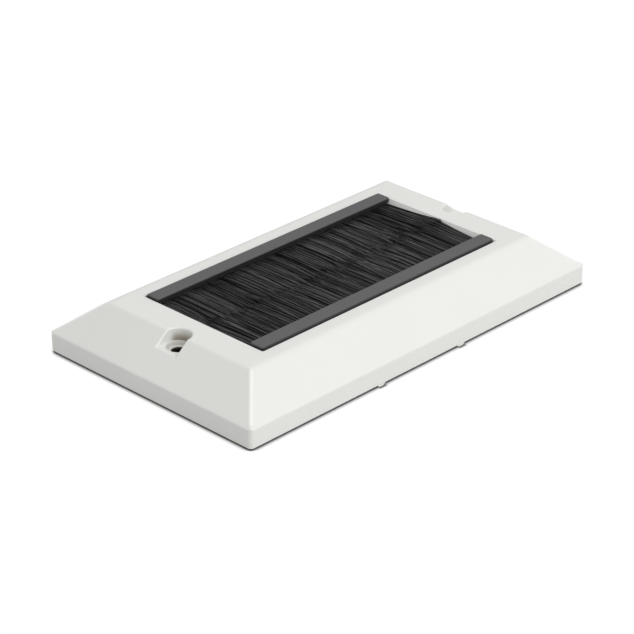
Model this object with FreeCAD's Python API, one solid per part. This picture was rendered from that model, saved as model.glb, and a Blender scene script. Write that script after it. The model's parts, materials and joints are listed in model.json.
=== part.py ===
import FreeCAD, Part
import math
import os

# Two-gang wall plate with a pair of strip brushes across its opening.
# Millimetres. The wall is the plane Z = 0 and the front faces +Z.
# X runs along the plate's long side. On the wall, +Y is up.

V = FreeCAD.Vector

# Plate outline and section
plate_length = 146.0
plate_width = 86.0
lip_height = 5.9          # upright side of the plate, from the rim
face_height = 16.0        # flat front face, from the rim
slope_run = 12.5          # width of the slope, seen from the front
wall = 2.2
lip_round = 0.8           # between the lip and the slope
side_round = 4.0          # between a long slope and the flat face
end_round = 1.6           # between an end slope and the flat face
corner_round = 1.3        # upright corners
hip_round = 0.8

# Feet on the rim's long sides
foot_height = 0.7
foot_base = 3.4
foot_tip = 1.8
foot_pitch = 34.8
foot_shift = -2.4         # middle of a pair, from the plate's middle

# Opening for the brushes
end_margin = 9.85         # flat face between the opening and the slope at each end
side_margin = 5.2         # and along each long side
opening_round = 0.5       # corners of the opening
opening_edge = 0.15       # broken edge on the front face
skirt_wall = 1.6
skirt_depth = 4.6         # of the end skirts, below the face's underside

# Fixing pockets
fixing_inset = 12.7       # from the plate's end: the screws of a two-gang box are 120.6 apart
pocket_width = 8.4
pocket_depth = 4.0        # from the flat face to the pocket's floor
pocket_wall = 1.8
pocket_edge = 0.35        # broken edge round the pocket
seat_diameter = 7.3       # counterbore for the screw's head
seat_depth = 1.3
screw_hole = 4.3          # clearance for an M3.5 screw
column_foot = 2.0         # the screw column stops this far above the rim

# Stiffening ribs behind the long slopes
rib = 1.2
rib_foot = 4.0            # ribs stop this far above the rim
rib_pitch = 48.0

# Strip holders
holder_width = 5.5
holder_proud = 0.8        # above the flat face
holder_cap = 1.7          # thickness of the visible bar
holder_floor = 1.2
holder_round = 0.45       # inner edge and ends of the bar
holder_brow = 1.1         # rounding of the bar's outer edge
holder_corner = 0.6       # upright corners of the bar, on the bristles' side
holder_outer_corner = 1.2
side_gap = 0.3            # between the holder and the opening's long edge
end_gap = 0.4             # between the holder and the opening's short edge
cap_overhang = 0.6        # of the bar past the channel's mouth
ledge_reach = 1.8         # ledge under the face, outside the opening
ledge = 1.4
keeper = 0.45             # upstand that keeps the channel in

# Snap hooks that hold the holders from behind
hook_pitch = 24.0
hook_width = 8.0
hook_wall = 1.2
hook_gap = 0.3            # between the hook's stem and the ledge
hook_bite = 0.8           # how far the barb reaches under the ledge
hook_barb = 1.1           # height of the barb
barb_edge = 0.35          # upright edge at the barb's tip

# Crimped channel, core wire and bristles
channel_height = 3.0
channel_depth = 3.6
channel_wall = 0.5
channel_round = 0.4
wire_diameter = 0.8
wire_gap = 0.1
strip_setback = 0.95      # of the brush strip's end inside the holder
tuft_pitch = 1.3
tuft_gap = 0.14           # between two tufts at the root
tuft_taper = 0.25         # width that a tuft loses on its way to the tip
tuft_slant = 0.3          # sideways run of a tuft's flank for each unit of height
tuft_tip_height = 1.7
tuft_inset = 0.1          # how much flatter a tuft starts than the root block
tuft_swell = 0.5          # how much thicker it is half way
tuft_bury = 0.4           # how far a tuft reaches into the root block
tuft_start = 0.7          # where the tufts part, past the channel's mouth
tuft_flare = 1.1          # lean of the last tuft at each end
flare_power = 6           # how late the lean sets in along the row
flare_middle = 0.4        # share of the lean that a tuft has half way
seam_gap = 0.3            # between the tips of the two rows
seam_wave = 0.42          # how far the seam of the tips strays in its long wave
seam_ripple = 0.28        # and in its short wave
wave_length = 31.0
ripple_length = 8.7
ripple_shift = 1.4        # start of the short wave, along the row

# Cutting tools
past = 1.0                # how far a tool runs past the material it cuts

# Places that follow from the sizes above
half_length = plate_length / 2
half_width = plate_width / 2
rim_z = foot_height
lip_z = rim_z + lip_height
face_z = rim_z + face_height
under_z = face_z - wall
slope = (face_height - lip_height) / slope_run
opening_x = half_length - slope_run - end_margin
opening_y = half_width - slope_run - side_margin
fixing_x = half_length - fixing_inset
pocket_z = face_z - pocket_depth
seat_z = pocket_z - seat_depth
holder_out = opening_y - side_gap
holder_in = holder_out - holder_width
holder_length = 2 * (opening_x - end_gap)
holder_top = face_z + holder_proud
cap_z = holder_top - holder_cap
strip_length = holder_length - 2 * strip_setback
channel_z = cap_z - channel_height
holder_z = channel_z - holder_floor
mouth_y = holder_in + cap_overhang
channel_back = mouth_y + channel_depth
ledge_z = under_z - ledge
hook_y = holder_out + ledge_reach + hook_gap
hook_back = hook_y + hook_wall
bristle_z = channel_z + channel_height / 2
bristle_half = channel_height / 2 - channel_wall
wire_y = channel_back - channel_wall - bristle_half


def box(x0, x1, y0, y1, z0, z1):
    """Block between two opposite corners."""
    return Part.makeBox(x1 - x0, y1 - y0, z1 - z0, V(x0, y0, z0))


def rod(radius, x, y, z0, z1):
    """Upright cylinder."""
    return Part.makeCylinder(radius, z1 - z0, V(x, y, z0))


def prism_x(points, x0, x1):
    """Outline of (y, z) points, drawn out along X."""
    corners = [V(x0, y, z) for y, z in points]
    face = Part.Face(Part.makePolygon(corners + corners[:1]))
    return face.extrude(V(x1 - x0, 0, 0))


def prism_y(points, y0, y1):
    """Outline of (x, z) points, drawn out along Y."""
    corners = [V(x, y0, z) for x, z in points]
    face = Part.Face(Part.makePolygon(corners + corners[:1]))
    return face.extrude(V(0, y1 - y0, 0))


def spread(count, pitch):
    """Evenly spaced places, centred on zero."""
    return [pitch * (i - (count - 1) / 2) for i in range(count)]


def edges_at(shape, test):
    """Edges whose middle passes the test."""
    found = []
    for edge in shape.Edges:
        middle = edge.valueAt((edge.FirstParameter + edge.LastParameter) / 2)
        if test(middle):
            found.append(edge)
    return found


def near(a, b, tolerance=0.01):
    return abs(a - b) < tolerance


def slope_section(half, base, lip, top):
    """Section of the plate: upright lip, slope, flat face."""
    inset = (top - lip) / slope
    return [
        (-half, base),
        (-half, lip),
        (-half + inset, top),
        (half - inset, top),
        (half, lip),
        (half, base),
    ]


def crossed_prisms(half_x, half_y, base, lip, top):
    """Long and short section, each drawn out along the other: what they share has hips."""
    along = prism_x(slope_section(half_y, base, lip, top), -half_x, half_x)
    across = prism_y(slope_section(half_x, base, lip, top), -half_y, half_y)
    return along, across


def rounded_prism(prism, half, place, face_round):
    """Rounds the long edges of the outer section, at the lip and at the face."""
    lips = edges_at(prism, lambda m: near(abs(place(m)), half) and near(m.z, lip_z))
    prism = prism.makeFillet(lip_round, lips)
    tops = edges_at(prism, lambda m: near(abs(place(m)), half - slope_run) and near(m.z, face_z))
    return prism.makeFillet(face_round, tops)


def hip_wedge(side_x, side_y):
    """Wedge between two neighbouring slopes, with its edge rounded along their hip."""
    low = V(side_x * half_length, side_y * half_width, lip_z)
    high = V(side_x * (half_length - slope_run), side_y * (half_width - slope_run), face_z)
    along = (high - low).normalize()
    reach = 6 * plate_length    # well past the whole plate
    start = low - along * reach / 2
    arms = []
    for level in (V(-side_x, 0, 0), V(0, -side_y, 0)):
        square = (level - along * level.dot(along)).normalize()
        arms.append(start + square * reach)
    face = Part.Face(Part.makePolygon([start] + arms + [start]))
    wedge = face.extrude(along * reach)
    tip = edges_at(wedge, lambda m: near(m.distanceToLine(low, along), 0))
    return wedge.makeFillet(hip_round, tip)


def plate_outside():
    """Outer form of the plate, solid, with its corners and hips rounded."""
    along, across = crossed_prisms(half_length, half_width, rim_z, lip_z, face_z)
    along = rounded_prism(along, half_width, lambda m: m.y, side_round)
    across = rounded_prism(across, half_length, lambda m: m.x, end_round)
    body = along.common(across)
    for side_x in (-1, 1):
        for side_y in (-1, 1):
            body = body.common(hip_wedge(side_x, side_y))
    block = box(-half_length, half_length, -half_width, half_width, 0, 2 * face_z)
    upright = edges_at(block, lambda m: near(m.z, face_z))
    return body.common(block.makeFillet(corner_round, upright))


def plate_inside():
    """Hollow behind the plate, one wall inside the outer form."""
    slant = wall * math.sqrt(1 + slope * slope)
    lip = lip_z + wall * slope - slant
    along, across = crossed_prisms(half_length - wall, half_width - wall, rim_z - wall, lip, under_z)
    return along.common(across)


def slot(radius, side, z0, z1):
    """Fixing slot: round at the screw and open towards the plate's end."""
    x = side * fixing_x
    end = side * (half_length + wall)
    run = box(min(x, end), max(x, end), -radius, radius, z0, z1)
    return run.fuse(rod(radius, x, 0, z0, z1))


def screw_column(side):
    """Walls and floor of a fixing pocket, with the column under it."""
    radius = pocket_width / 2 + pocket_wall
    walls = slot(radius, side, seat_z - pocket_wall, face_z)
    column = rod(seat_diameter / 2 + pocket_wall, side * fixing_x, 0, rim_z + column_foot, pocket_z)
    return walls.fuse(column)


def pocket_flank(side, side_y):
    """Square bar that breaks the pocket's edge where it runs down the slope."""
    start = V(side * (half_length - slope_run), side_y * pocket_width / 2, face_z)
    end = V(side * (half_length - (pocket_z - lip_z) / slope), start.y, pocket_z)
    run = end - start
    out = V(0, pocket_edge, 0)
    up = run.cross(out) * (1 / run.Length)
    corners = [start + out, start + up, start - out, start - up, start + out]
    return Part.Face(Part.makePolygon(corners)).extrude(run)


def screw_way(side):
    """What is cut away for a fixing screw."""
    x = side * fixing_x
    radius = pocket_width / 2
    foot = V(x, 0, face_z - pocket_edge)
    cut = slot(radius, side, pocket_z, face_z + past)
    cut = cut.fuse(Part.makeCone(radius, radius + pocket_edge, pocket_edge, foot))
    cut = cut.fuse([pocket_flank(side, side_y) for side_y in (-1, 1)])
    cut = cut.fuse(rod(seat_diameter / 2, x, 0, seat_z, pocket_z + past))
    return cut.fuse(rod(screw_hole / 2, x, 0, 0, seat_z + past))


def ribs():
    """Ribs between the long slopes and the hooks."""
    pieces = []
    z0 = rim_z + rib_foot
    z1 = under_z + wall / 2
    count = int(2 * (half_length - slope_run) / rib_pitch)
    for x in spread(count, rib_pitch):
        for y0, y1 in ((hook_back, half_width - wall / 2), (wall / 2 - half_width, -hook_back)):
            pieces.append(box(x - rib / 2, x + rib / 2, y0, y1, z0, z1))
    return pieces


def end_skirt(side):
    """Wall behind a short edge of the opening, where the holders stop."""
    x0 = side * opening_x
    x1 = side * (opening_x + skirt_wall)
    z0 = under_z - skirt_depth
    return box(min(x0, x1), max(x0, x1), -hook_back, hook_back, z0, under_z + wall / 2)


def snap_hook(x, side):
    """Hook that hangs behind the face, its barb under the holder's ledge."""
    tip = hook_y - hook_gap - hook_bite
    outline = [
        (hook_back, under_z + wall / 2),
        (hook_y, under_z + wall / 2),
        (hook_y, ledge_z),
        (tip, ledge_z),
        (tip, ledge_z - barb_edge),
        (hook_y, ledge_z - hook_barb),
        (hook_back, ledge_z - hook_barb),
    ]
    turned = [(side * y, z) for y, z in outline]
    return prism_x(turned, x - hook_width / 2, x + hook_width / 2)


def foot(x, side):
    """Small foot under the rim, flush with the plate's side."""
    outline = [
        (x - foot_base / 2, rim_z),
        (x - foot_tip / 2, 0),
        (x + foot_tip / 2, 0),
        (x + foot_base / 2, rim_z),
    ]
    y0 = side * half_width
    y1 = side * (half_width - wall)
    return prism_y(outline, min(y0, y1), max(y0, y1))


def opening_cut():
    """Window in the flat face, with a broken front edge."""
    depth = wall + past
    cut = box(-opening_x, opening_x, -opening_y, opening_y, face_z - depth, face_z)
    upright = edges_at(cut, lambda m: near(m.z, face_z - depth / 2))
    cut = cut.makeFillet(opening_round, upright)
    rim = [e for e in cut.Edges if near(e.BoundBox.ZMin, face_z) and near(e.BoundBox.ZMax, face_z)]
    outline = Part.Wire(Part.__sortEdges__(rim))
    flare = Part.Face(outline)
    wide = flare.makeOffset2D(opening_edge)
    bevel = Part.makeLoft([lowered(flare, opening_edge), wide.OuterWire], True, True)
    return cut.fuse(bevel)


def lowered(face, drop):
    """Outline of a face, moved down."""
    wire = face.OuterWire.copy()
    wire.translate(V(0, 0, -drop))
    return wire


def faceplate():
    """The moulded plate, in one piece."""
    outside = plate_outside()
    body = outside.cut(plate_inside())
    added = [screw_column(side) for side in (-1, 1)] + ribs()
    body = body.fuse([piece.common(outside) for piece in added])
    hung = [end_skirt(side) for side in (-1, 1)]
    hooks = spread(int(holder_length / hook_pitch), hook_pitch)
    hung += [snap_hook(x, side) for x in hooks for side in (-1, 1)]
    hung += [
        foot(x + foot_shift, side)
        for x in spread(2, foot_pitch)
        for side in (-1, 1)
    ]
    body = body.fuse(hung)
    body = body.cut([screw_way(side) for side in (-1, 1)])
    body = body.cut(opening_cut())
    return body.removeSplitter()


def strip_holder(side):
    """Holder bar: visible cap, groove for the channel and ledge behind the face."""
    outline = [
        (holder_in, cap_z),
        (holder_in, holder_top),
        (holder_out, holder_top),
        (holder_out, under_z),
        (holder_out + ledge_reach, under_z),
        (holder_out + ledge_reach, ledge_z),
        (holder_out, ledge_z),
        (holder_out, holder_z),
        (holder_in, holder_z),
        (holder_in, channel_z + keeper),
        (mouth_y, channel_z + keeper),
        (mouth_y, channel_z),
        (channel_back, channel_z),
        (channel_back, cap_z),
    ]
    turned = [(side * y, z) for y, z in outline]
    bar = prism_x(turned, -holder_length / 2, holder_length / 2)
    brow = edges_at(bar, lambda m: near(m.z, holder_top) and near(abs(m.y), holder_out))
    bar = bar.makeFillet(holder_brow, brow)
    inner = edges_at(bar, lambda m: near(m.z, holder_top) and near(abs(m.y), holder_in))
    bar = bar.makeFillet(holder_round, inner)
    return bar.common(rounded_block(side)).removeSplitter()


def rounded_block(side):
    """Block as long as the bar, with the rounding of the bar's ends."""
    x = holder_length / 2
    y0, y1 = sorted((side * holder_in, side * holder_out))
    block = box(-x, x, y0, y1, holder_z, holder_top)
    for place, radius in ((holder_in, holder_corner), (holder_out, holder_outer_corner)):
        corners = edges_at(block, lambda m: near(abs(m.x), x) and near(abs(m.y), place))
        block = block.makeFillet(radius, corners)
    ends = edges_at(block, lambda m: near(abs(m.x), x) and near(m.z, holder_top))
    block = block.makeFillet(holder_round, ends)
    y0, y1 = sorted((side * holder_in, side * (holder_out + ledge_reach)))
    return block.fuse(box(-x, x, y0, y1, holder_z, under_z))


def crimp_channel(side):
    """Folded metal channel that grips the bristles, open towards the middle."""
    outline = [
        (mouth_y, channel_z),
        (channel_back, channel_z),
        (channel_back, cap_z),
        (mouth_y, cap_z),
        (mouth_y, cap_z - channel_wall),
        (channel_back - channel_wall, cap_z - channel_wall),
        (channel_back - channel_wall, channel_z + channel_wall),
        (mouth_y, channel_z + channel_wall),
    ]
    turned = [(side * y, z) for y, z in outline]
    strip = prism_x(turned, -strip_length / 2, strip_length / 2)
    folds = edges_at(strip, lambda m: near(abs(m.y), channel_back) and near(m.x, 0))
    return strip.makeFillet(channel_round, folds)


def core_wire(side):
    """Wire that the bristles are folded over."""
    start = V(-strip_length / 2, side * wire_y, bristle_z)
    return Part.makeCylinder(wire_diameter / 2, strip_length, start, V(1, 0, 0))


def seam(x):
    """Where the tips of the two rows meet, as a wandering line."""
    wave = seam_wave * math.sin(2 * math.pi * x / wave_length)
    return wave + seam_ripple * math.sin(2 * math.pi * (x + ripple_shift) / ripple_length)


def tuft_section(x, y, width, height):
    """Six-sided section of a tuft, across its length, with flanks of one fixed slant."""
    half = width / 2
    rise = height / 2
    flat = half - tuft_slant * rise
    points = [(-half, 0), (-flat, rise), (flat, rise), (half, 0), (flat, -rise), (-flat, -rise)]
    return [V(x + dx, y, bristle_z + dz) for dx, dz in points]


def solid_between(sections):
    """Solid through a row of sections that have the same number of corners."""
    faces = [Part.Face(Part.makePolygon(ring + ring[:1])) for ring in (sections[0], sections[-1])]
    for a, b in zip(sections, sections[1:]):
        for i in range(len(a)):
            j = (i + 1) % len(a)
            faces.append(Part.Face(Part.makePolygon([a[i], a[j], b[j], b[i], a[i]])))
    return Part.Solid(Part.Shell(faces))


def tuft(x, side):
    """One tuft of bristles, from the root block to the seam."""
    reach = strip_length / 2
    lean = tuft_flare * math.copysign((abs(x) / reach) ** flare_power, x)
    tip_y = seam(x) + side * seam_gap / 2
    start_y = side * (mouth_y - tuft_start)
    root_y = start_y + side * tuft_bury
    width = tuft_pitch - tuft_gap
    height = 2 * bristle_half
    middle_y = (start_y + tip_y) / 2
    return solid_between([
        tuft_section(x, root_y, width, height - tuft_inset),
        tuft_section(x + lean * flare_middle, middle_y, width - tuft_taper / 2, height + tuft_swell),
        tuft_section(x + lean, tip_y, width - tuft_taper, tuft_tip_height),
    ])


def bristles(side):
    """Row of bristles: a fold round the wire, a root block and a comb of tufts."""
    start = V(-strip_length / 2, side * wire_y, bristle_z)
    fold = Part.makeCylinder(bristle_half, strip_length, start, V(1, 0, 0))
    y0 = side * (mouth_y - tuft_start)
    y1 = side * wire_y
    z0 = bristle_z - bristle_half
    z1 = bristle_z + bristle_half
    root = box(-strip_length / 2, strip_length / 2, min(y0, y1), max(y0, y1), z0, z1)
    bore = Part.makeCylinder(wire_diameter / 2 + wire_gap, strip_length, start, V(1, 0, 0))
    root = root.fuse(fold).removeSplitter().cut(bore)
    count = int(strip_length / tuft_pitch)
    return root.fuse([tuft(x, side) for x in spread(count, tuft_pitch)])


def write(node, shape):
    """Saves one piece under its node's name."""
    if not shape.isValid():
        print(node, "is not valid")
    print(node, "solids", len(shape.Solids), "volume", round(shape.Volume, 1), "faces", len(shape.Faces))
    shape.exportStep("parts/" + node + ".step")


os.makedirs("parts", exist_ok=True)
write("faceplate", faceplate())
for name, side in (("upper", 1), ("lower", -1)):
    write(name + "_strip_holder", strip_holder(side))
    write(name + "_crimp_channel", crimp_channel(side))
    write(name + "_core_wire", core_wire(side))
    write(name + "_bristles", bristles(side))
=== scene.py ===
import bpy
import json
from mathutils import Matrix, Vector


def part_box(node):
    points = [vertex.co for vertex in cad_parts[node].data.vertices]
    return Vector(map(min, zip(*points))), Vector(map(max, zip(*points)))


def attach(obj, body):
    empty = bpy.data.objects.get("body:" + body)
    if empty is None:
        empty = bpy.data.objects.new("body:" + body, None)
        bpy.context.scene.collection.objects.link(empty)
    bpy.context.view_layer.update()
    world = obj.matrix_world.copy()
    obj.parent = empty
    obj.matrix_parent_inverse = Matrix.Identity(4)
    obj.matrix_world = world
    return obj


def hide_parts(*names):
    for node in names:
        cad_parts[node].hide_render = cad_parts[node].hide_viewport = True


bl_info = {
    "name": "Brush wall plate",
    "version": (1, 0, 0),
    "blender": (4, 5, 0),
    "location": "View3D > Sidebar > Wall plate",
    "description": "Finishes and bristles for a wall plate with a brush opening",
    "category": "Object",
}

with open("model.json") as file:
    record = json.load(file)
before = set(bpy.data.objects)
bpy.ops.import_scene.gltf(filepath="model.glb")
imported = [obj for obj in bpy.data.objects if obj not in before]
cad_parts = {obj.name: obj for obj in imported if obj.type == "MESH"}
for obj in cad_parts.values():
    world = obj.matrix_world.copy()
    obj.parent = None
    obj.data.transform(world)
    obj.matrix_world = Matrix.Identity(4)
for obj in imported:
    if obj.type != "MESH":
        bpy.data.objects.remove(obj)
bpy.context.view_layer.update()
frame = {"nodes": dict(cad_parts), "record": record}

import json
import math
import random

import bmesh
import bpy
from bpy.props import FloatProperty, FloatVectorProperty, IntProperty, PointerProperty
from mathutils import Matrix, Vector, noise

MM = 0.001

# Places on the solids that the finishes follow, in millimetres
HALF_LENGTH, HALF_WIDTH, FACE_Z = [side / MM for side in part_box("faceplate")[1]]
BAR_END, BAR_LEDGE, BAR_TOP = [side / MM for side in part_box("upper_strip_holder")[1]]
OPENING_X = BAR_END + 0.4       # end wall of the opening, past the bars' ends
OPENING_Y = BAR_LEDGE - 1.5     # long wall of the opening, above the bar's ledge
SCREWS = {mount["name"]: mount for mount in frame["record"]["mounts"]}["fixing_holes"]
SCREW_X = SCREWS["dims"]["spacing_x_mm"] / 2
BORE_RADIUS = SCREWS["dims"]["hole_r_mm"]
SEAT_RADIUS = BORE_RADIUS + 1.5
SEAT_Z = SCREWS["pos_m"][2] / MM
POCKET_RADIUS = 4.2             # closed end of the pocket
LIP_Z = 6.6                     # edge between the lip and the slopes
FEET_MIDDLE = -2.4              # middle of the two feet on each long side
FEET_PITCH = 34.8               # from one foot to the other

# Brush strip, in millimetres: each layer has its height and its share of the bunches with painted highlights;
# the lower layers, with few or none, are left in painted shade
LAYERS = ((0.66, 1.0), (0.42, 0.25), (0.1, 0.0), (-0.3, 0.0), (-0.7, 0.0))
ROOT_DEPTH = 0.8                # from the channel's mouth to the filaments' roots
END_FLARE = 1.3                 # how far the last bunches spread past the core wire
LOOSE_END = 4.5                 # length of a filament's tip that fans out
STRIP_LOW = -1.10               # lowest and highest filament, from the middle of the strip
STRIP_HIGH = 1.48

# Camera fitted to the photo's straight lines, in pixels
PICTURE_WIDTH = 634
FOCAL_LENGTH = 2575.09


# Shader maths

class Value:
    """A shader socket that takes part in plain arithmetic."""

    def __init__(self, nodes, socket):
        self.nodes = nodes
        self.socket = socket

    def math(self, operation, a, b=0.0):
        return self.nodes.add("ShaderNodeMath", {"operation": operation}, {0: a, 1: b})

    def __add__(self, other):
        return self.math("ADD", self, other)

    def __sub__(self, other):
        return self.math("SUBTRACT", self, other)

    def __rsub__(self, other):
        return self.math("SUBTRACT", other, self)

    def __mul__(self, other):
        return self.math("MULTIPLY", self, other)

    def __pow__(self, other):
        return self.math("POWER", self, other)

    __radd__ = __add__
    __rmul__ = __mul__

    def size(self):
        return self.math("ABSOLUTE", self)

    def clipped(self):
        """Kept between nought and one."""
        return self.nodes.add("ShaderNodeClamp", {}, {0: self})

    def band(self, low, high):
        """Nought below the low value, one above the high one, smooth between."""
        settings = {"interpolation_type": "SMOOTHSTEP"}
        inputs = {"Value": self, "From Min": low, "From Max": high}
        return self.nodes.add("ShaderNodeMapRange", settings, inputs)

    def below(self, low, high):
        """One below the low value, nought above the high one, smooth between."""
        return 1.0 - self.band(low, high)

    def near(self, middle, full, end):
        """One within the first distance of the middle, nought past the second one."""
        return (self - middle).size().below(full, end)


class Nodes:
    """A node tree, with a short way to add its nodes."""

    def __init__(self, tree):
        self.tree = tree

    def link(self, value, socket):
        if isinstance(value, Value):
            self.tree.links.new(value.socket, socket)
        else:
            socket.default_value = value

    def add(self, kind, settings, inputs, output=0):
        """One node: its settings first, then the values or links of its sockets."""
        node = self.tree.nodes.new(kind)
        for name, setting in settings.items():
            setattr(node, name, setting)
        for name, value in inputs.items():
            self.link(value, node.inputs[name])
        return Value(self, node.outputs[output])

    def rays(self, *kinds):
        """One for rays of any of these kinds."""
        found = [self.add("ShaderNodeLightPath", {}, {}, "Is " + kind + " Ray") for kind in kinds]
        return sum(found[1:], found[0]).clipped()


class Material(Nodes):
    """A new node material."""

    def __init__(self, name):
        self.material = bpy.data.materials.new(name)
        self.material.use_nodes = True
        super().__init__(self.material.node_tree)
        self.shader = self.tree.nodes["Principled BSDF"]
        self.output = self.tree.nodes["Material Output"]

    def place(self):
        """Object coordinates, in metres."""
        return self.add("ShaderNodeTexCoord", {}, {}, "Object")

    def millimetres(self):
        """The three object coordinates, in millimetres."""
        place = self.stretched(self.place(), (1 / MM, 1 / MM, 1 / MM))
        return [self.add("ShaderNodeSeparateXYZ", {}, {0: place}, axis) for axis in "XYZ"]

    def stretched(self, vector, scale):
        """The place, drawn out by another factor along each axis."""
        return self.add("ShaderNodeVectorMath", {"operation": "MULTIPLY"}, {0: vector, 1: scale})

    def grain(self, vector, scale, detail=2.0, roughness=0.5):
        """Noise between nought and one."""
        inputs = {"Vector": vector, "Scale": scale, "Detail": detail, "Roughness": roughness}
        return self.add("ShaderNodeTexNoise", {}, inputs, "Fac")

    def blend(self, factor, first, second):
        """Colour between two colours."""
        inputs = {0: factor, 6: first, 7: second}
        return self.add("ShaderNodeMix", {"data_type": "RGBA"}, inputs, 2)

    def bump(self, height, distance, strength):
        inputs = {"Height": height, "Distance": distance, "Strength": strength}
        return self.add("ShaderNodeBump", {}, inputs)

    def set(self, **sockets):
        """Values or links for the shader's sockets, named with underscores."""
        for name, value in sockets.items():
            self.link(value, self.shader.inputs[name.replace("_", " ")])
        return self.material


def shade(colour, factor):
    """A colour made lighter or darker, with its alpha."""
    return (*[channel * factor for channel in colour[:3]], 1.0)


# Finishes

def painted_pocket_shade(m, colour, looks):
    """Painted shade: a darker, warmer colour on the closed end and the seat of the screw pockets, stronger
    towards the bottom, and a painted dark bore.
    """
    x, y, z = m.millimetres()
    # Colour of the painted shade
    dull = looks.pocket_shade_colour
    screw = ((x.size() - SCREW_X) ** 2.0 + y ** 2.0) ** 0.5
    # Painted shade on the closed end of each pocket, darker towards the bottom
    wall = screw.near(POCKET_RADIUS, 0.1, 0.45) * z.below(FACE_Z - 3.9, FACE_Z - 0.3)
    wall = wall * x.size().below(SCREW_X - 2.5, SCREW_X - 0.3)
    seat = screw.below(SEAT_RADIUS - 0.05, SEAT_RADIUS + 0.25) * z.below(SEAT_Z + 0.4, SEAT_Z + 1.0)
    hole = screw.below(BORE_RADIUS + 0.05, BORE_RADIUS + 0.35) * z.below(SEAT_Z - 0.2, SEAT_Z + 0.1)
    # Painted dark bore: brown at its top, near black lower down
    bore = m.blend(z.band(SEAT_Z - 1.0, SEAT_Z), shade(dull, 0.08), shade(dull, 0.5))
    colour = m.blend(wall * 0.75 + seat * 0.18, colour, shade(dull, 1.0))
    return m.blend(hole, colour, bore)


def painted_light_end_walls(m):
    """Mask of the opening's end walls, which get painted light."""
    x, y, z = m.millimetres()
    across = x.size().near(OPENING_X, 0.05, 0.25) * y.size().below(OPENING_Y + 0.1, OPENING_Y + 0.3)
    return across * z.band(FACE_Z - 3.7, FACE_Z - 3.1) * z.below(FACE_Z - 0.4, FACE_Z - 0.1)


def painted_hip_highlights(m):
    """Mask of the painted highlight along the lines where two slopes meet."""
    x, y, z = m.millimetres()
    hip = (x.size() - y.size()).near(HALF_LENGTH - HALF_WIDTH, 0.3, 1.2)
    return hip * z.band(LIP_Z + 0.6, LIP_Z + 1.4) * z.below(FACE_Z - 0.5, FACE_Z - 0.1)


def moulded_white(looks):
    """Satin white plastic: faint clouding, fine moulded grain and duller patches, with painted shade in the
    screw pockets, painted light and a painted glow on the opening's end walls, and painted highlights on the
    hips.
    """
    m = Material("moulded_white")
    place = m.place()
    plate = looks.plate_colour
    cloud = m.grain(place, 38.0, 3.0)
    grain = m.grain(place, 2600.0, 2.0)
    flow = m.grain(m.stretched(place, (1.0, 4.0, 4.0)), 90.0, 2.0)
    walls = painted_light_end_walls(m)
    colour = m.blend(cloud, shade(plate, 0.985), shade(plate, 1.015))
    # Painted shade in the screw pockets
    colour = painted_pocket_shade(m, colour, looks)
    # Painted light on the opening's end walls
    colour = m.blend(walls, colour, shade(plate, 1.2))
    # Painted highlight along the hips
    colour = m.blend(painted_hip_highlights(m), colour, shade(plate, looks.hip_highlight))
    # Painted glow on the opening's end walls
    glow = m.blend(walls, shade(plate, 0.0), shade(plate, looks.end_wall_glow))
    rough = looks.plate_roughness + (flow - 0.5) * 0.08 + (cloud - 0.5) * 0.06
    m.set(Base_Color=colour, Roughness=rough, Specular_IOR_Level=0.42)
    m.set(Emission_Color=glow, Emission_Strength=1.0)
    return m.set(Normal=m.bump(grain, 0.004 * MM, 0.5))


def matt_grey(looks):
    """Matt dark grey plastic of the holder bars, with a fine even grain and painted shade down the sides and
    towards the outer edge.
    """
    m = Material("matt_grey")
    place = m.place()
    _, y, z = m.millimetres()
    bar = looks.holder_colour
    cloud = m.grain(place, 60.0, 2.0)
    drawn = m.grain(m.stretched(place, (0.06, 1.0, 1.0)), 1500.0, 2.0)
    grain = m.grain(place, 3200.0, 2.0)
    colour = m.blend(cloud, shade(bar, 0.95), shade(bar, 1.05))
    # Painted shade: darker down the sides below the top face, darker still towards the outer edge
    colour = m.blend(z.band(BAR_TOP - 0.7, BAR_TOP - 0.03), shade(bar, 0.12), colour)
    outer = y.size().band(OPENING_Y - 0.95, OPENING_Y - 0.3)
    colour = m.blend(outer * 0.85, colour, shade(bar, 0.08))
    rough = looks.holder_roughness + (drawn - 0.5) * 0.10
    m.set(Base_Color=colour, Roughness=rough, Specular_IOR_Level=0.4)
    return m.set(Normal=m.bump(grain * 0.6 + drawn * 0.4, 0.008 * MM, 0.6))


def zinc_plate(looks):
    """Zinc on folded steel strip: rolled streaks and a patchy dull sheen."""
    m = Material("zinc_plate")
    place = m.place()
    streak = m.grain(m.stretched(place, (0.05, 1.0, 1.0)), 2200.0, 3.0)
    patch = m.grain(place, 320.0, 3.0)
    colour = m.blend(patch, shade(looks.metal_colour, 0.9), shade(looks.metal_colour, 1.08))
    m.set(Base_Color=colour, Metallic=1.0, Roughness=0.34 + (patch - 0.5) * 0.16)
    return m.set(Normal=m.bump(streak, 0.006 * MM, 0.5))


def drawn_wire(looks):
    """Plain steel wire with fine drawing lines along it."""
    m = Material("drawn_wire")
    place = m.place()
    lines = m.grain(m.stretched(place, (0.02, 1.0, 1.0)), 5200.0, 2.0)
    colour = m.blend(lines, shade(looks.metal_colour, 0.8), shade(looks.metal_colour, 0.98))
    m.set(Base_Color=colour, Metallic=1.0, Roughness=0.3 + (lines - 0.5) * 0.15)
    return m.set(Normal=m.bump(lines, 0.004 * MM, 0.6))


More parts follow.
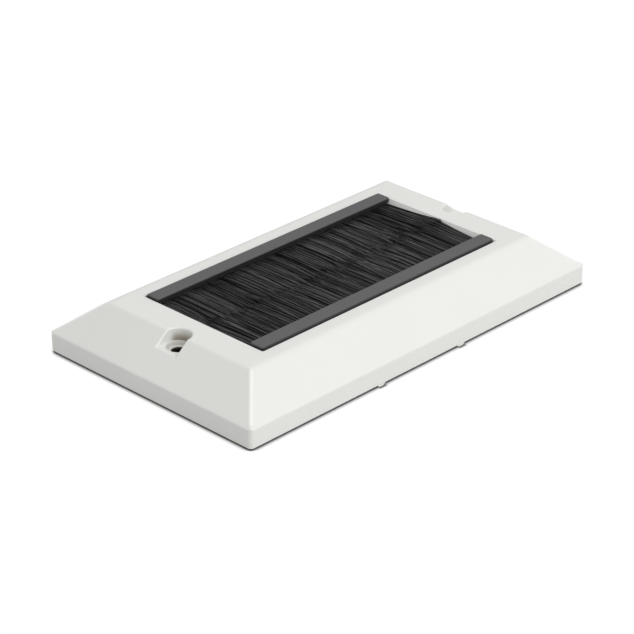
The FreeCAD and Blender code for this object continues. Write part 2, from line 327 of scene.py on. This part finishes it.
def black_nylon(looks):
    """Black nylon filament with a soft sheen; each bunch lighter or darker than the next as painted
    highlights and painted shade, broken up by random patches and streaks.
    """
    m = Material("black_nylon")
    place = m.place()
    tone_and_shine = m.add("ShaderNodeAttribute", {"attribute_name": "tone_and_shine"}, {}, "Fac")
    strand = m.grain(m.stretched(place, (1.0, 0.05, 1.0)), 2600.0, 1.0)
    patch = m.grain(m.stretched(place, (1.0, 0.22, 1.0)), 1000.0, 2.0)
    tone_and_shine = (tone_and_shine * (0.6 + patch * 0.8) + (strand - 0.5) * 0.3).clipped()
    # From near black up to the grey of the painted highlights
    colour = m.blend(tone_and_shine, shade(looks.bristle_colour, 0.1), shade(looks.bristle_colour, 8.6))
    rough = looks.bristle_roughness + (strand - 0.5) * 0.2
    return m.set(Base_Color=colour, Roughness=rough, Specular_IOR_Level=0.2)


# Bristles

class Row:
    """Where the filaments of one brush strip run, in millimetres."""

    def __init__(self, node, side, looks):
        low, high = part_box(node)
        self.side = side
        self.looks = looks
        self.dice = random.Random(41 + side)
        self.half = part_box(node.replace("bristles", "core_wire"))[1].x / MM
        self.middle_z = (low.z + high.z) / 2 / MM
        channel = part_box(node.replace("bristles", "crimp_channel"))
        self.mouth = min(abs(corner.y) for corner in channel) / MM

    def seam(self, x):
        """Middle line of the tangle between the two rows."""
        wave = 0.42 * math.sin(2 * math.pi * x / 31.0) + 0.28 * math.sin(2 * math.pi * (x + 1.4) / 8.7)
        return wave + 0.9 * noise.noise(Vector((x * 0.21, 3.0, 0.0)))

    def ragged(self, x):
        """How far the tips of one row reach past the seam, in patches of their own."""
        patches = 1.5 * noise.noise(Vector((x * 0.33, self.side * 7.0, 2.0)))
        fine = 1.1 * noise.noise(Vector((x * 0.95, self.side * 3.0, 5.0)))
        return self.looks.overlap / MM + patches + fine

    def layer(self, level, bright_share):
        """Bunches side by side at one height of the strip."""
        dice = self.dice
        bunches = []
        bright = False
        x = -self.half
        while x < self.half:
            width = self.looks.bunch_pitch / MM * dice.uniform(0.7, 1.3)
            middle = min(x + width / 2, self.half)
            drift = 0.5 * noise.noise(Vector((middle * 0.11, self.side * 5.0, 0.0)))
            drift += 0.25 * noise.noise(Vector((middle * 0.37, self.side * 9.0, level)))
            # Bright bunches stand for painted highlights, the others for painted shade
            bright = dice.random() < (0.1 if bright else bright_share)
            bunches.append({
                "x": middle,
                "width": width,
                "level": level + dice.gauss(0.0, 0.09),
                "lean": drift + dice.gauss(0.0, 0.12),
                "rise": dice.gauss(0.05, 0.17),
                "over": self.ragged(middle) + dice.gauss(0.0, 0.6),
                "fan": dice.uniform(0.15, 0.75),
                "bow": dice.gauss(0.0, 0.09),
                "tone_and_shine": dice.uniform(0.5, 1.0) if bright else dice.uniform(0.0, 0.05),
                "phase": dice.uniform(0.0, 2 * math.pi),
            })
            x += width
        return bunches

    def strands(self):
        """One run for each filament of the row."""
        bunches = []
        for level, share in LAYERS:
            bunches += self.layer(level, self.looks.bright_share * share)
        density = self.looks.strand_count / sum(bunch["width"] for bunch in bunches)
        runs = []
        for bunch in bunches:
            for _ in range(max(2, round(density * bunch["width"]))):
                runs.append(self.run(bunch))
        return runs

    def run(self, bunch):
        """The function from the share of a filament's length to its place and its painted light and shade."""
        dice = self.dice
        side = self.side

        # Place in the bunch, as seen along it
        turn = dice.uniform(0.0, 2 * math.pi)
        far = dice.random() ** 0.5
        across = math.cos(turn) * far
        above = math.sin(turn) * far

        # The last bunches at each end of the row spread and lift
        x = bunch["x"]
        edge = min(1.0, abs(x) / self.half) ** 7
        loose = 1.0 - edge
        flare = math.copysign(END_FLARE * edge, x)
        lift = (1.5 if x > 0 else 0.4) * edge * (0.65 + 0.35 * above)
        limit = self.half + END_FLARE - 0.01

        # Width of the bunch, and how its filaments leave it
        spread = bunch["width"] * 0.5
        held = bunch["width"] * self.looks.bunch_hold * 0.5
        fan = bunch["fan"] * dice.gauss(0.0, 0.55)
        lean = (bunch["lean"] + dice.gauss(0.0, 0.03)) * loose
        rise = bunch["rise"] + dice.gauss(0.0, 0.07)
        over = max(-1.1, min(2.8, bunch["over"] + dice.gauss(0.0, 0.25)))
        over += abs(dice.gauss(0.0, 0.35))
        root = side * (self.mouth + ROOT_DEPTH)
        tip = self.seam(x) - side * over
        length = abs(tip - root)
        # The upper side of each bunch is painted lighter, as if lit from above
        tone_and_shine = bunch["tone_and_shine"] * (0.75 + 0.25 * above) + dice.gauss(0.0, 0.15)
        if dice.random() < self.looks.stray_share:
            lean += dice.gauss(0.0, 1.1) * loose
            rise += abs(dice.gauss(0.0, 0.3))
            # Painted highlight on the strays
            tone_and_shine += 0.7
        # Painted shade on the lower row
        if side < 0:
            tone_and_shine *= 0.88
        strand = dice.uniform(0.0, 2 * math.pi)

        def point(t):
            """Place at a share of the length, and the painted light of the filament there."""
            ease = t * t * (3 - 2 * t)
            tight = min(1.0, t * 3.0)
            late = max(0.0, 1.0 - (1.0 - t) * length / LOOSE_END)
            width = spread * (1 - tight) + held * tight
            px = x + across * width + lean * t ** 1.8 + flare * t ** 1.5
            px += fan * late ** 1.6 * loose + 0.05 * math.sin(bunch["phase"] + 8.0 * t) * ease
            py = root + (tip - root) * t
            swell = 0.30 * math.sin(math.pi * min(1.0, 0.15 + t * 0.9))
            pz = (bunch["level"] + above * 0.20) * (1.0 + 0.5 * swell) + swell
            pz += rise * t ** 2.2 + bunch["bow"] * math.sin(math.pi * t)
            pz -= 0.28 * bunch["level"] * late
            inside = max(0.0, 1.0 - t * 9.0)
            pz = max(STRIP_LOW, min(STRIP_HIGH - 0.54 * inside, pz)) + lift * t ** 2.5
            px = max(-limit, min(limit, px))
            # Painted highlights along the filament, and painted shade towards its tip
            shine = tone_and_shine * (1.0 + 0.35 * math.sin(strand + 9.0 * t)) * (1.0 - 0.4 * late ** 1.5)
            return Vector((px, py, self.middle_z + pz)) * MM, shine

        return point

    def thickness(self, t):
        """Half the width of a filament along its length."""
        return self.looks.strand_width / 2 * (1.0 - 0.35 * t ** 3)


def filament(bm, steps):
    """One three-sided filament of unit length along Y, with rings at even steps."""
    along = Matrix.Translation((0.0, 0.5, 0.0)) @ Matrix.Rotation(-math.pi / 2, 4, "X")
    bmesh.ops.create_cone(
        bm, cap_ends=True, segments=3, radius1=1.0, radius2=1.0, depth=1.0, matrix=along)
    for step in range(1, steps):
        geometry = bm.verts[:] + bm.edges[:] + bm.faces[:]
        cut = (0, step / steps, 0)
        bmesh.ops.bisect_plane(bm, geom=geometry, plane_co=cut, plane_no=(0, 1, 0))
    bmesh.ops.triangulate(bm, faces=bm.faces[:])


def multiplied(bm, wanted):
    """Copies the one filament until there are as many as wanted, each with its number."""
    number = bm.verts.layers.int.new("number")
    sizes = [len(bm.verts), len(bm.edges), len(bm.faces)]
    count = 1
    while count < wanted:
        more = min(count, wanted - count)
        geometry = []
        for items, size in zip((bm.verts, bm.edges, bm.faces), sizes):
            geometry += items[:more * size]
        made = bmesh.ops.duplicate(bm, geom=geometry)["geom"]
        for item in made:
            if isinstance(item, bmesh.types.BMVert):
                item[number] += count
        count += more
    return number


def brush_row(node, side, looks, material):
    """Thousands of separate filaments in place of one row's solid."""
    row = Row(node, side, looks)
    runs = row.strands()
    bm = bmesh.new()
    filament(bm, looks.strand_steps)
    number = multiplied(bm, len(runs))
    tone_and_shine = bm.verts.layers.float.new("tone_and_shine")
    for vert in bm.verts:
        t = min(1.0, max(0.0, vert.co.y))
        reach = row.thickness(t)
        place, vert[tone_and_shine] = runs[vert[number]](t)
        vert.co = place + Vector((vert.co.x * reach, 0.0, vert.co.z * reach))
    bmesh.ops.recalc_face_normals(bm, faces=bm.faces[:])
    for face in bm.faces:
        face.smooth = True
    name = node + "_filaments"
    mesh = bpy.data.meshes.new(name)
    bm.to_mesh(mesh)
    bm.free()
    mesh.materials.append(material)
    piece = bpy.data.objects.new(name, mesh)
    bpy.context.scene.collection.objects.link(piece)
    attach(piece, "root")
    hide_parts(node)


def finish_nodes(ending, material):
    """Gives a material to every CAD node whose name has this ending."""
    found = [item for name, item in frame["nodes"].items() if name.endswith(ending)]
    if not found:
        raise RuntimeError("no node ends in " + ending)
    for item in found:
        for slot in item.material_slots:
            slot.material = material


# Stage

def floor_white(studio):
    """Floor that the camera sees as white, with the plate's shadow close to it."""
    m = Material("floor_white")
    m.set(Base_Color=(*studio.floor_colour, 1.0), Roughness=0.9, Specular_IOR_Level=0.0)
    x, y, _ = m.millimetres()
    past_end = x.size() - HALF_LENGTH
    past_side = y.size() - HALF_WIDTH

    # Black under the plate, a thin shadow along its rim and a darker one at each foot
    under = past_end.below(-0.8, -0.4) * past_side.below(-0.8, -0.4)
    open_air = m.add("ShaderNodeAmbientOcclusion", {"samples": 16}, {"Distance": 2.9 * MM}, "AO")
    foot = (x - FEET_MIDDLE).size().near(FEET_PITCH / 2, 1.1, 1.9) * past_side.below(0.35, 1.6)
    level = (open_air.band(0.39, 0.8) * 1.1 * (1.0 - foot) + 0.055) * (1.0 - under)
    white = m.add("ShaderNodeEmission", {}, {"Color": (1, 1, 1, 1), "Strength": level})
    seen = m.rays("Camera", "Glossy", "Transmission") * 0.8
    lit = Value(m, m.shader.outputs[0])
    mixed = m.add("ShaderNodeMixShader", {}, {0: seen, 1: lit, 2: white})
    m.link(mixed, m.output.inputs["Surface"])
    return m.material


def lay_floor(studio):
    """Pale floor that looks white from the camera and keeps the plate's shadow."""
    bm = bmesh.new()
    bmesh.ops.create_grid(bm, x_segments=8, y_segments=8, size=6.0)
    mesh = bpy.data.meshes.new("floor")
    bm.to_mesh(mesh)
    bm.free()
    mesh.materials.append(floor_white(studio))
    floor = bpy.data.objects.new("floor", mesh)
    bpy.context.scene.collection.objects.link(floor)


def light_world(studio):
    """Even white light; the camera sees plain white."""
    world = bpy.data.worlds.new("studio")
    world.use_nodes = True
    nodes = Nodes(world.node_tree)
    direct = nodes.rays("Camera", "Transmission")
    inputs = {"Value": direct, "To Min": studio.dome_strength, "To Max": 1.0}
    level = nodes.add("ShaderNodeMapRange", {}, inputs)
    back = world.node_tree.nodes["Background"]
    back.inputs["Color"].default_value = (1.0, 1.0, 1.0, 1.0)
    nodes.link(level, back.inputs["Strength"])
    bpy.context.scene.world = world


def hang_lamp(name, place, size, strength):
    """Soft lamp that points at the plate."""
    data = bpy.data.lights.new(name, "AREA")
    data.shape = "RECTANGLE"
    data.size, data.size_y = size
    data.energy = strength
    lamp = bpy.data.objects.new(name, data)
    lamp.location = place
    lamp.rotation_euler = (-lamp.location).to_track_quat("-Z", "Y").to_euler()
    bpy.context.scene.collection.objects.link(lamp)


def stand_camera(studio):
    """Camera at the fitted place and angle."""
    azimuth = studio.camera_azimuth
    tilt = studio.camera_elevation
    back = Vector((math.sin(azimuth) * math.cos(tilt), -math.cos(azimuth) * math.cos(tilt), math.sin(tilt)))
    right = Vector((0, 0, 1)).cross(back).normalized()
    up = back.cross(right)
    turn = Matrix((right, up, back)).transposed().to_4x4() @ Matrix.Rotation(studio.camera_roll, 4, "Z")
    data = bpy.data.cameras.new("camera")
    data.sensor_width = 36.0
    data.lens = data.sensor_width * studio.picture_focus
    data.clip_start = 0.01
    data.clip_end = 50.0
    camera = bpy.data.objects.new("camera", data)
    camera.matrix_world = Matrix.Translation(Vector(studio.camera_place)) @ turn
    bpy.context.scene.collection.objects.link(camera)
    bpy.context.scene.camera = camera


# Settings

class WallPlateLooks(bpy.types.PropertyGroup):
    """Colours and sizes of the finishes and the bristles."""

    plate_colour: FloatVectorProperty(
        name="Plate colour", description="Colour of the moulded plate", subtype="COLOR",
        min=0.0, max=1.0, default=(0.80, 0.80, 0.775))
    # Colour of the painted shade low down in the screw pockets
    pocket_shade_colour: FloatVectorProperty(
        name="Pocket colour", description="Duller colour low down in the screw pockets", subtype="COLOR",
        min=0.0, max=1.0, default=(0.22, 0.18, 0.115))
    # Strength of the painted highlight along the hips
    hip_highlight: FloatProperty(
        name="Crest", description="How much lighter the polished hips are",
        min=1.0, max=1.25, default=1.12)
    end_wall_glow: FloatProperty(
        name="End wall glow", description="Faint glow of the opening's end walls", subtype="FACTOR",
        min=0.0, max=1.0, default=0.2)
    plate_roughness: FloatProperty(
        name="Plate roughness", description="Sheen of the plate", subtype="FACTOR",
        min=0.0, max=1.0, default=0.36)
    holder_colour: FloatVectorProperty(
        name="Holder colour", description="Colour of the holder bars", subtype="COLOR",
        min=0.0, max=1.0, default=(0.106, 0.106, 0.107))
    holder_roughness: FloatProperty(
        name="Holder roughness", description="Sheen of the holder bars", subtype="FACTOR",
        min=0.0, max=1.0, default=0.6)
    metal_colour: FloatVectorProperty(
        name="Metal colour", description="Colour of the channels and wires", subtype="COLOR",
        min=0.0, max=1.0, default=(0.60, 0.61, 0.62))
    bristle_colour: FloatVectorProperty(
        name="Bristle colour", description="Middle colour of the filaments", subtype="COLOR",
        min=0.0, max=1.0, default=(0.018, 0.018, 0.0185))
    bristle_roughness: FloatProperty(
        name="Bristle roughness", description="Sheen of the filaments", subtype="FACTOR",
        min=0.0, max=1.0, default=0.32)
    strand_count: IntProperty(
        name="Filaments", description="Filaments in each row", min=100, max=6100, default=6050)
    strand_steps: IntProperty(
        name="Steps", description="Steps along each filament", min=2, max=12, default=5)
    strand_width: FloatProperty(
        name="Filament width", description="Thickness of one filament",
        subtype="DISTANCE", unit="LENGTH", min=0.0001, max=0.001, precision=5, default=0.2 * MM)
    bunch_pitch: FloatProperty(
        name="Bunch pitch", description="Usual width of a bunch of filaments",
        subtype="DISTANCE", unit="LENGTH", min=0.0003, max=0.01, precision=5, default=0.58 * MM)
    bunch_hold: FloatProperty(
        name="Bunch hold", description="Width of a bunch on its way, as a share of its place in the row",
        subtype="FACTOR", min=0.1, max=1.0, default=0.5)
    bright_share: FloatProperty(
        name="Bright share", description="Share of the bunches on top that shine", subtype="FACTOR",
        min=0.0, max=1.0, default=0.85)
    overlap: FloatProperty(
        name="Overlap", description="How far the tips reach past the middle of the tangle",
        subtype="DISTANCE", unit="LENGTH", min=0.0, max=0.003, precision=5, default=0.9 * MM)
    stray_share: FloatProperty(
        name="Strays", description="Share of filaments that stand out of their bunch", subtype="FACTOR",
        min=0.0, max=1.0, default=0.08)


class StudioLooks(bpy.types.PropertyGroup):
    """Camera, lamps and background."""

    camera_place: FloatVectorProperty(
        name="Camera place", description="Where the camera stands", subtype="TRANSLATION", unit="LENGTH",
        default=(-0.5013, -0.49269, 0.36281))
    camera_azimuth: FloatProperty(
        name="Camera azimuth", description="Turn of the camera round the plate, from the front",
        subtype="ANGLE", default=math.radians(-45.3267))
    camera_elevation: FloatProperty(
        name="Camera elevation", description="Tilt of the view, from level", subtype="ANGLE",
        default=math.radians(27.3099))
    camera_roll: FloatProperty(
        name="Camera roll", description="Turn of the picture", subtype="ANGLE", default=math.radians(-0.3571))
    picture_focus: FloatProperty(
        name="Focal length", description="Focal length in widths of the picture", min=0.5, max=20.0,
        default=FOCAL_LENGTH / PICTURE_WIDTH)
    dome_strength: FloatProperty(
        name="Dome strength", description="Even light from all round", min=0.0, max=5.0, default=0.64)
    key_strength: FloatProperty(
        name="Key strength", description="Power of the large soft lamp", unit="POWER",
        min=0.0, max=1000.0, default=11.2)
    top_strength: FloatProperty(
        name="Top strength", description="Power of the small lamp overhead", unit="POWER",
        min=0.0, max=1000.0, default=1.3)
    floor_colour: FloatVectorProperty(
        name="Floor colour", description="Colour of the floor as the plate sees it", subtype="COLOR",
        min=0.0, max=1.0, default=(0.56, 0.56, 0.56))


# Operators

class WALLPLATE_OT_faceplate(bpy.types.Operator):
    """Give the moulded plate its satin white finish"""
    bl_idname = "wallplate.faceplate"
    bl_label = "Finish faceplate"

    def execute(self, context):
        finish_nodes("faceplate", moulded_white(context.scene.wall_plate_looks))
        return {"FINISHED"}


class WALLPLATE_OT_holders(bpy.types.Operator):
    """Give the two holder bars their matt grey finish"""
    bl_idname = "wallplate.holders"
    bl_label = "Finish holders"

    def execute(self, context):
        finish_nodes("strip_holder", matt_grey(context.scene.wall_plate_looks))
        return {"FINISHED"}


class WALLPLATE_OT_metal(bpy.types.Operator):
    """Give the channels and core wires their metal finish"""
    bl_idname = "wallplate.metal"
    bl_label = "Finish metal strip"

    def execute(self, context):
        looks = context.scene.wall_plate_looks
        finish_nodes("crimp_channel", zinc_plate(looks))
        finish_nodes("core_wire", drawn_wire(looks))
        return {"FINISHED"}


class WALLPLATE_OT_bristles(bpy.types.Operator):
    """Model both rows of bristles as separate filaments"""
    bl_idname = "wallplate.bristles"
    bl_label = "Make bristles"

    def execute(self, context):
        looks = context.scene.wall_plate_looks
        material = black_nylon(looks)
        finish_nodes("bristles", material)
        for node, side in (("upper_bristles", 1), ("lower_bristles", -1)):
            brush_row(node, side, looks, material)
        return {"FINISHED"}


class WALLPLATE_OT_stage(bpy.types.Operator):
    """Set up the floor, the lamps and the camera"""
    bl_idname = "wallplate.stage"
    bl_label = "Set up stage"

    def execute(self, context):
        studio = context.scene.wall_plate_studio
        lay_floor(studio)
        light_world(studio)
        hang_lamp("key_lamp", (0.12, -1.15, 0.95), (1.6, 1.0), studio.key_strength)
        hang_lamp("top_lamp", (0.03, 0.03, 1.5), (0.28, 0.28), studio.top_strength)
        stand_camera(studio)
        context.scene.view_settings.view_transform = "Standard"
        return {"FINISHED"}


# Panel

class WALLPLATE_PT_panel(bpy.types.Panel):
    """Lists the steps and the settings"""
    bl_idname = "WALLPLATE_PT_panel"
    bl_label = "Brush wall plate"
    bl_space_type = "VIEW_3D"
    bl_region_type = "UI"
    bl_category = "Wall plate"

    def draw(self, context):
        for step in STEPS:
            self.layout.operator(step.bl_idname)
        for group in (context.scene.wall_plate_looks, context.scene.wall_plate_studio):
            column = self.layout.column()
            for name in group.bl_rna.properties.keys():
                if name not in ("rna_type", "name"):
                    column.prop(group, name)


STEPS = (
    WALLPLATE_OT_faceplate,
    WALLPLATE_OT_holders,
    WALLPLATE_OT_metal,
    WALLPLATE_OT_bristles,
    WALLPLATE_OT_stage,
)
CLASSES = (WallPlateLooks, StudioLooks, *STEPS, WALLPLATE_PT_panel)


def register():
    for item in CLASSES:
        bpy.utils.register_class(item)
    bpy.types.Scene.wall_plate_looks = PointerProperty(type=WallPlateLooks)
    bpy.types.Scene.wall_plate_studio = PointerProperty(type=StudioLooks)


def unregister():
    del bpy.types.Scene.wall_plate_studio
    del bpy.types.Scene.wall_plate_looks
    for item in reversed(CLASSES):
        bpy.utils.unregister_class(item)


def main():
    register()
    bpy.ops.wallplate.faceplate()
    bpy.ops.wallplate.holders()
    bpy.ops.wallplate.metal()
    bpy.ops.wallplate.bristles()
    bpy.ops.wallplate.stage()


if __name__ == "__main__":
    main()
